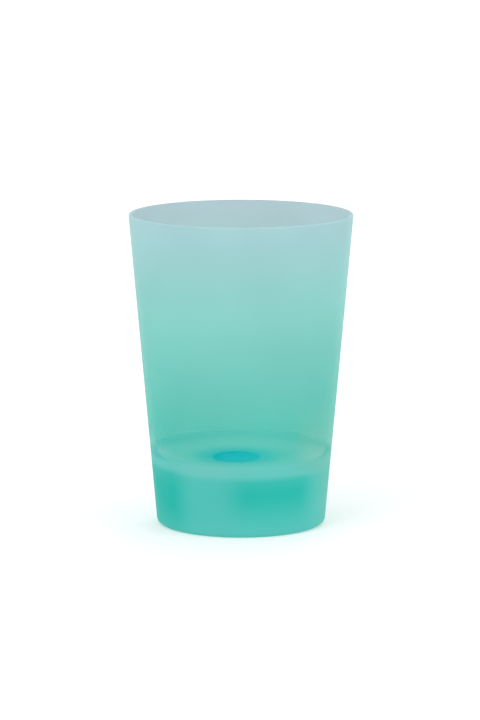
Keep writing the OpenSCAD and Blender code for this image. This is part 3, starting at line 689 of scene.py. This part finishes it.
def cup_outline(cup, base):
    """The cup's section: outside and lip, inside, floor, window hole and compartment."""
    foot_steps, lip_steps, cove_steps, round_steps = 10, 18, 14, 8
    wall_rows, floor_rows, skirt_rows = 30, 6, 5
    lip = cup.wall_rim / 2
    lip_z = cup.height - lip
    spread = (cup.rim_radius - cup.base_radius) / lip_z
    taper = math.degrees(math.atan(spread))
    low = cup.floor_height
    inner_low = cup.base_radius + spread * low - cup.wall_low
    inner_high = cup.rim_radius - cup.wall_rim
    inner_taper = math.atan((inner_high - inner_low) / (lip_z - low))
    lean = math.degrees(inner_taper)
    cove_r = inner_low + cup.cove_radius * math.tan(inner_taper) - cup.cove_radius / math.cos(inner_taper)
    foot_r = cup.base_radius + spread * cup.foot_radius - cup.foot_radius / math.cos(math.radians(taper))
    foot = arc((foot_r, cup.foot_radius), cup.foot_radius, -90, -taper, foot_steps)
    rounded_lip = arc((cup.rim_radius - lip, lip_z), lip, -taper, 180 - lean, lip_steps)
    cove = arc((cove_r, low + cup.cove_radius), cup.cove_radius, -lean, -90, cove_steps)
    rise = base.ceiling_height - base.ledge_height
    ceiling_r = base.cavity_radius - rise * math.tan(base.cavity_draft) - base.ceiling_round
    ceiling_z = base.ceiling_height - base.ceiling_round
    ceiling = arc((ceiling_r, ceiling_z), base.ceiling_round, 90, 0, round_steps)
    window = [(cup.window_radius, low), (cup.window_radius, base.ceiling_height)]
    mouth = [
        (base.cavity_radius, base.ledge_height),
        (base.mouth_radius, base.ledge_height),
        (base.mouth_radius, base.mouth_break),
        (base.mouth_radius + base.mouth_break, 0),
    ]
    lip_top = lip_steps // 2
    outside = foot + stretch(foot[-1], rounded_lip[0], wall_rows) + rounded_lip[1:lip_top]
    inside = rounded_lip[lip_top:] + stretch(rounded_lip[-1], cove[0], wall_rows)
    floor = cove[1:] + stretch(cove[-1], window[0], floor_rows) + window[1:]
    skirt = ceiling + stretch(ceiling[-1], mouth[0], skirt_rows) + mouth[1:]
    return list(enumerate((outside, inside, floor, skirt)))


def bosses(cup, base, looks):
    """The long bosses with their ribs, and the short posts over the board."""
    boss_turns, post_turns = 40, 36
    boss_room, post_room, rib_bite = 0.5 * MM, 0.1 * MM, 0.5 * MM
    top = (base.ceiling_height + cup.floor_height) / 2
    screw = bpy.context.scene.tumbler_screw
    made = []
    ring = -COVER_SCREWS_LOW.y - screw.head_radius
    hole_top = COVER_SCREWS_HIGH.z + boss_room
    outline = post_outline(base, base.boss_low, top, base.boss_radius, base.boss_widening, hole_top)
    for turn in BOSS_ANGLES:
        spin = Matrix.Rotation(turn, 4, "Z")
        boss = lathe([(BASE, outline)], boss_turns, closed=False)
        boss.transform(spin @ Matrix.Translation((ring, 0, 0)))
        rib = bmesh.new()
        half = base.rib_width / 2
        corner = (ring, -half, base.boss_low + base.rib_width)
        add_block(rib, corner, (base.cavity_radius + rib_bite, half, top), BASE, spin)
        made += [make_object("boss", boss, looks), make_object("rib", rib, looks)]
    ring = -UNIT_SCREWS_LOW.y - screw.head_radius
    hole_top = UNIT_SCREWS_HIGH.z + post_room
    outline = post_outline(base, BOARD_HIGH.z, top, base.post_radius, 0, hole_top)
    for turn in POST_ANGLES:
        post = lathe([(BASE, outline)], post_turns, closed=False)
        post.transform(Matrix.Rotation(turn, 4, "Z") @ Matrix.Translation((ring, 0, 0)))
        made.append(make_object("post", post, looks))
    return made


def post_outline(base, low, top, radius, widening, hole_top):
    """The section of a boss with a blind hole and a fillet at its root."""
    hole, root, soft = base.boss_hole, base.boss_fillet, 0.15 * MM
    wide = radius + widening
    return [
        (0, hole_top),
        (hole, hole_top),
        (hole, low + soft),
        (hole + soft, low),
        (radius - soft, low),
        (radius, low + soft),
        *arc((wide + root, base.ceiling_height - root), root, 180, 90, 6),
        (wide + root, top),
        (0, top),
    ]


class TUMBLER_OT_window(Operator):
    """Finish the window over the lamps, its gasket and the reflector."""

    bl_idname = "tumbler.finish_window"
    bl_label = "Window"

    def execute(self, context):
        look = context.scene.tumbler_finish
        dress("light_lens", window_plastic())
        dress("lens_gasket", moulded_plastic("gasket_silicone", look.gasket, 0.6))
        dress("reflector", moulded_plastic("reflector_plastic", look.milk, 0.3, 0.25))
        return {"FINISHED"}


def dress(node, material):
    """Gives a CAD node its finish."""
    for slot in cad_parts[node].material_slots:
        slot.material = material


class TUMBLER_OT_lamps(Operator):
    """Finish the three lamps: green and blue are lit, red is off."""

    bl_idname = "tumbler.finish_lamps"
    bl_label = "Lamps"

    def execute(self, context):
        look = context.scene.tumbler_finish
        for name, glow in (("red", 0.0), ("green", 0.9), ("blue", 0.9)):
            dress("led_" + name, lamp_epoxy(name + "_epoxy", getattr(look, name + "_lamp"), glow))
        return {"FINISHED"}


class TUMBLER_OT_board(Operator):
    """Finish the board and the chip, and make the resistors, the capacitor and the solder."""

    bl_idname = "tumbler.make_board"
    bl_label = "Circuit board"

    def execute(self, context):
        look, board = context.scene.tumbler_finish, context.scene.tumbler_board
        tin = plated_steel("tin", look.tin, (1, 1, 1), 0.24)
        black = moulded_plastic("resistor_film", look.epoxy, 0.3, edge=0.05)
        tan = moulded_plastic("capacitor_ceramic", look.ceramic, 0.35, edge=0.05)
        ring = (GASKET_HIGH.x + BOARD_HIGH.x) / 2

        small = (board.resistor_width, board.resistor_length, board.resistor_height)
        large = (board.capacitor_width, board.capacitor_length, CAPACITOR_HIGH.z - BOARD_HIGH.z)
        chips = (
            ("resistors", "black_plastic", black, RESISTOR_ANGLES, small),
            ("capacitor", "ceramic", tan, [CAPACITOR_ANGLE], large),
        )
        for name, slot, body, angles, size in chips:
            mesh = bmesh.new()
            for turn in angles:
                add_capped_chip(mesh, size, board, turn, ring)
            made = make_object("chip_" + name, mesh, [body, tin])
            soft = made.modifiers.new("soft edges", "BEVEL")
            soft.width, soft.segments = board.edge_round, 2
            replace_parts(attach(made, "cup"), name)

        joints = make_object("solder_joints", solder(board), [tin], 60)
        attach(joints, "cup")
        dress("controller_chip", chip_epoxy())
        dress("circuit_board", board_lacquer(pad_places(board, ring)))
        return {"FINISHED"}


def add_capped_chip(mesh, size, board, turn, ring):
    """A surface-mounted block with tinned ends, standing on the board across a ring."""
    place = Matrix.Rotation(turn, 4, "Z") @ Matrix.Translation((ring, 0, BOARD_HIGH.z))
    half, end, high = size[0] / 2, size[1] / 2, size[2]
    inner, step = end - board.cap_length, board.cap_proud
    add_block(mesh, (step - half, -inner, step), (half - step, inner, high - step), 0, place)
    add_block(mesh, (-half, inner, 0), (half, end, high), 1, place)
    add_block(mesh, (-half, -end, 0), (half, -inner, high), 1, place)


def lead_places(board):
    """Where the lamps' leads pass the board."""
    places = []
    for turn in LAMP_ANGLES:
        for side in (-1, 1):
            offset = Vector((-math.sin(turn), math.cos(turn), 0)) * side * board.lead_pitch / 2
            places.append(around(turn, board.lamp_ring) + offset)
    return places


def tail_places(board):
    """Where the two contacts' tails pass the board."""
    reach = -CONTACT_LOW.x - board.strip / 2
    middle = (CONTACT_LOW.y + CONTACT_HIGH.y) / 2
    return [Vector((side * reach, middle, 0)) for side in (-1, 1)]


def foot_places():
    """The outer ends of the switch's four feet."""
    out, along = SWITCH_HIGH.x * 1.15, SWITCH_HIGH.x * 2 / 3
    return [Vector((x * out, y * along, 0)) for x in (-1, 1) for y in (-1, 1)]


def pad_places(board, ring):
    """Tinned pads of the board, each its place and radius."""
    pads = [(p, board.lead_pad) for p in lead_places(board) + foot_places()]
    pads += [(p, board.tail_pad) for p in tail_places(board)]
    screws = -UNIT_SCREWS_LOW.y - bpy.context.scene.tumbler_screw.head_radius
    pads += [(around(turn, screws), board.screw_pad) for turn in POST_ANGLES]
    ends = [(turn, board.resistor_length) for turn in RESISTOR_ANGLES]
    for turn, long in ends + [(CAPACITOR_ANGLE, board.capacitor_length)]:
        for side in (-1, 1):
            lean = math.atan(side * long / 2 / ring)
            pads.append((around(turn + lean, math.hypot(ring, long / 2)), board.end_pad))
    return pads


def solder(board):
    """Small cones of solder at the leads and feet under the board and at the tails on it."""
    turns, rows, narrowing, tail_rise = 24, 6, 0.62, 1.6
    mesh = bmesh.new()
    clear = SWITCH_HIGH.x + board.joint_radius * 0.9        # none over the switch
    under = [p for p in lead_places(board) if max(abs(p.x), abs(p.y)) > clear] + foot_places()
    high = board.joint_height
    cones = [(p, BOARD_LOW.z, -1, board.joint_radius, high) for p in under]
    cones += [(p, BOARD_HIGH.z, 1, board.tail_joint, high * tail_rise) for p in tail_places(board)]
    for place, face, side, radius, high in cones:
        spin = Matrix.Translation((place.x, place.y, face)) @ Matrix.Diagonal((1, 1, side, 1))
        rings = []
        for row in range(rows + 1):
            r = radius * (1 - narrowing * math.sin(math.pi / 2 * row / rows))
            circle = [around(2 * math.pi * i / turns, r, high * row / rows) for i in range(turns)]
            rings.append([mesh.verts.new(spin @ p) for p in circle])
        for low, upper in zip(rings, rings[1:]):
            for i in range(turns):
                mesh.faces.new((low[i - 1], low[i], upper[i], upper[i - 1]))
        mesh.faces.new(rings[0])
        mesh.faces.new(rings[-1])
    bmesh.ops.recalc_face_normals(mesh, faces=mesh.faces)
    return mesh


class TUMBLER_OT_switch(Operator):
    """Finish the push switch under the board."""

    bl_idname = "tumbler.finish_switch"
    bl_label = "Switch"

    def execute(self, context):
        look = context.scene.tumbler_finish
        dress("switch_body", moulded_plastic("switch_plastic", look.epoxy, 0.45, edge=0.1))
        dress("switch_plunger", moulded_plastic("plunger_plastic", look.epoxy, 0.32, edge=0.15))
        dress("switch_plate", plated_steel("switch_steel", look.steel, (12, 1, 1)))
        return {"FINISHED"}


class TUMBLER_OT_battery(Operator):
    """Finish the tray, the three cells and their contacts."""

    bl_idname = "tumbler.finish_battery"
    bl_label = "Battery"

    def execute(self, context):
        look = context.scene.tumbler_finish
        dress("battery_tray", moulded_plastic("tray_plastic", look.milk, 0.45, 0.06, 0.25))
        for node in ("cell_1", "cell_2", "cell_3"):
            dress(node, cell_nickel(node))
        spring = plated_steel("contact_steel", look.steel, (1, 12, 1), 0.22)
        dress("positive_contact", spring)
        dress("negative_contact", spring)
        return {"FINISHED"}


class TUMBLER_OT_screws(Operator):
    """Make the threaded screws of the cover and of the light unit."""

    bl_idname = "tumbler.make_screws"
    bl_label = "Screws"

    def execute(self, context):
        screw, look = context.scene.tumbler_screw, context.scene.tumbler_finish
        metal = plated_steel("screw_steel", look.steel, (1, 1, 1))
        sets = (
            ("cover", "cover", BOSS_ANGLES, COVER_SCREWS_LOW, COVER_SCREWS_HIGH),
            ("unit", "cup", POST_ANGLES, UNIT_SCREWS_LOW, UNIT_SCREWS_HIGH),
        )
        for name, body, angles, low, high in sets:
            ring = -low.y - screw.head_radius
            for i, turn in enumerate(angles):
                made = threaded_screw(f"{name}_screw_{i + 1}", screw, high.z - low.z, metal)
                made.data.transform(Matrix.Rotation(turn, 4, "Z") @ Matrix.Translation((ring, 0, low.z)))
                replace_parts(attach(made, body), name + "_screws")
        return {"FINISHED"}


def threaded_screw(name, screw, total, metal):
    """A pan-head screw with a cross recess, the face of its head at z = 0 and its shank above."""
    turns, rows_per_pitch, head_steps, tip_rows = 24, 8, 8, 6
    tip_share, plain_share, neck = 0.4, 0.3, 0.1 * MM
    soft = screw.head_height / 2
    crest = screw.crest_radius
    tip = total - crest
    rows = round((tip - screw.head_height) / screw.pitch * rows_per_pitch)
    outline = [(0, 0)] + arc((screw.head_radius - soft, soft), soft, -90, 0, head_steps)
    outline += [(screw.head_radius, screw.head_height), (crest, screw.head_height)]
    outline += stretch((crest, screw.head_height), (crest, tip), rows)
    outline += stretch((crest, tip), (crest * tip_share, total), tip_rows) + [(0, total)]
    mesh = lathe([(0, outline)], turns, closed=False)
    for v in mesh.verts:
        if v.co.z > screw.head_height + neck and v.co.xy.length > crest * plain_share:
            turn = math.atan2(v.co.y, v.co.x) / (2 * math.pi)
            groove = 1 - abs(2 * ((v.co.z / screw.pitch - turn) % 1) - 1)
            v.co.xy = v.co.xy * (1 - groove * (1 - screw.root_radius / crest))
    made = make_object(name, mesh, [metal])
    arms = []
    for way in (0, 90):
        arm = bmesh.new()
        reach, half = screw.recess_reach, screw.recess_width / 2
        spin = Matrix.Rotation(math.radians(way), 4, "Z")
        add_block(arm, (-reach, -half, -soft), (reach, half, screw.recess_depth), 0, spin)
        arms.append(make_object("arm", arm, [metal]))
    combine(made, arms, "DIFFERENCE", 40)
    return made


class TUMBLER_OT_cover(Operator):
    """Finish the cover under the light unit and its seal."""

    bl_idname = "tumbler.finish_cover"
    bl_label = "Cover"

    def execute(self, context):
        look = context.scene.tumbler_finish
        dress("base_cover", moulded_plastic("cover_plastic", look.milk, 0.46, 0.08, 0.2))
        dress("base_seal", moulded_plastic("seal_silicone", look.silicone, 0.62))
        return {"FINISHED"}


class TUMBLER_OT_button(Operator):
    """Finish the push button and the ring on its barrel."""

    bl_idname = "tumbler.finish_button"
    bl_label = "Button"

    def execute(self, context):
        look = context.scene.tumbler_finish
        dress("push_button", moulded_plastic("button_plastic", look.button, 0.34, 0.15, 0.3))
        dress("button_seal", moulded_plastic("ring_silicone", look.silicone, 0.55))
        return {"FINISHED"}


class TUMBLER_OT_stage(Operator):
    """Make the floor, the studio light and the camera."""

    bl_idname = "tumbler.make_stage"
    bl_label = "Stage"

    def execute(self, context):
        for make in (make_floor, make_studio, make_camera):
            make(context.scene.tumbler_stage)
        context.scene.view_settings.view_transform = "Standard"
        return {"FINISHED"}


def seen_directly(tree):
    """1 for rays from the camera, mirrors and glass, and 1 for rays from the camera alone."""
    path = tree.add("LightPath", {}).outputs
    camera = total = path["Is Camera Ray"]
    for name in ("Is Glossy Ray", "Is Transmission Ray"):
        total = tree.math("MAXIMUM", total, path[name])
    return total, camera


def make_floor(stage):
    """A plain pale floor, white to the camera but for the object's shadow.

    A camera beneath it sees through it, and light from beneath passes inside the foot ring.
    """
    f = Finish("floor_paper")
    seen, camera = seen_directly(f)
    f.surface(Base_Color=stage.paper, Roughness=0.9, Specular_IOR_Level=0.1)
    f.surface(Emission_Color=(1, 1, 1), Emission_Strength=f.product(seen, stage.paper_glow))
    back = f.add("NewGeometry", {}).outputs["Backfacing"]
    inside = f.math("LESS_THAN", f.vector("LENGTH", f.place), stage.open_radius)
    opening = f.math("MAXIMUM", f.product(back, camera), inside)
    clear = f.add("BsdfTransparent", {}).outputs[0]
    blend = f.add("MixShader", {0: opening, 1: f.shader.outputs[0], 2: clear})
    f.feed(f.nodes["Material Output"].inputs["Surface"], blend.outputs[0])
    mesh = bmesh.new()
    bmesh.ops.create_grid(mesh, x_segments=1, y_segments=1, size=stage.floor_size / 2)
    make_object("floor", mesh, [f.material])


def make_studio(stage):
    """Even studio light and three large soft lamps."""
    world = bpy.data.worlds.new("studio")
    world.use_nodes = True
    tree = Nodes(world.node_tree)
    seen, _ = seen_directly(tree)
    strength = tree.add("MapRange", {"Value": seen, "To Min": stage.sky}).outputs[0]
    background = tree.nodes["Background"].inputs
    tree.feed(background["Color"], (1, 1, 1))
    tree.feed(background["Strength"], strength)
    bpy.context.scene.world = world
    lamps = {
        "key": ((-1.6, -1.9, 2.1), 1.6, 2),
        "fill": ((2.2, -1.2, 1.4), 1.8, 1),
        "back": ((0.6, 2.2, 1.8), 1.6, 1),
    }
    for name, (place, size, power) in lamps.items():
        data = bpy.data.lights.new(name, "AREA")
        data.size, data.energy = size, power * stage.lamps
        lamp = bpy.data.objects.new(name, data)
        lamp.location = place
        lamp.rotation_euler = (Vector((0, 0, 0.05)) - lamp.location).to_track_quat("-Z", "Y").to_euler()
        lamp.visible_camera = False
        bpy.context.scene.collection.objects.link(lamp)


def make_camera(stage):
    """The camera at the photograph's viewing angle."""
    data = bpy.data.cameras.new("camera")
    data.lens = stage.lens
    data.sensor_width = 36
    data.shift_x, data.shift_y = stage.shift_right, stage.shift_up
    camera = bpy.data.objects.new("camera", data)
    aim = Vector((0, 0, stage.aim_height))
    back = Vector((0, -math.cos(stage.pitch), math.sin(stage.pitch)))
    camera.location = aim + back * stage.distance
    camera.rotation_euler = (-back).to_track_quat("-Z", "Y").to_euler()
    bpy.context.scene.collection.objects.link(camera)
    bpy.context.scene.camera = camera


class TUMBLER_PT_panel(Panel):
    """Lists the tumbler's pieces and their settings."""

    bl_idname = "TUMBLER_PT_panel"
    bl_label = "Light-up tumbler"
    bl_space_type = "VIEW_3D"
    bl_region_type = "UI"
    bl_category = "Tumbler"

    def draw(self, context):
        for name, title in SETTINGS.items():
            box = self.layout.box()
            box.label(text=title)
            group = getattr(context.scene, name)
            for key in group.__annotations__:
                box.prop(group, key)
        for operator in OPERATORS:
            self.layout.operator(operator.bl_idname)


SETTINGS = {
    "tumbler_cup": "Cup",
    "tumbler_base": "Compartment",
    "tumbler_board": "Circuit board",
    "tumbler_screw": "Screws",
    "tumbler_finish": "Finishes",
    "tumbler_light": "Light in the plastic",
    "tumbler_stage": "Stage",
}
GROUPS = (TumblerCup, TumblerBase, TumblerBoard, TumblerScrew, TumblerFinish, TumblerLight, TumblerStage)
OPERATORS = (
    TUMBLER_OT_cup,
    TUMBLER_OT_window,
    TUMBLER_OT_lamps,
    TUMBLER_OT_board,
    TUMBLER_OT_switch,
    TUMBLER_OT_battery,
    TUMBLER_OT_screws,
    TUMBLER_OT_cover,
    TUMBLER_OT_button,
    TUMBLER_OT_stage,
)


def register():
    for kind in (*GROUPS, *OPERATORS, TUMBLER_PT_panel):
        bpy.utils.register_class(kind)
    for name, group in zip(SETTINGS, GROUPS):
        setattr(bpy.types.Scene, name, PointerProperty(type=group))


def unregister():
    for name in SETTINGS:
        delattr(bpy.types.Scene, name)
    for kind in reversed((*GROUPS, *OPERATORS, TUMBLER_PT_panel)):
        bpy.utils.unregister_class(kind)


def main():
    register()
    for operator in OPERATORS:
        group, name = operator.bl_idname.split(".")
        getattr(getattr(bpy.ops, group), name)()


if __name__ == "__main__":
    main()
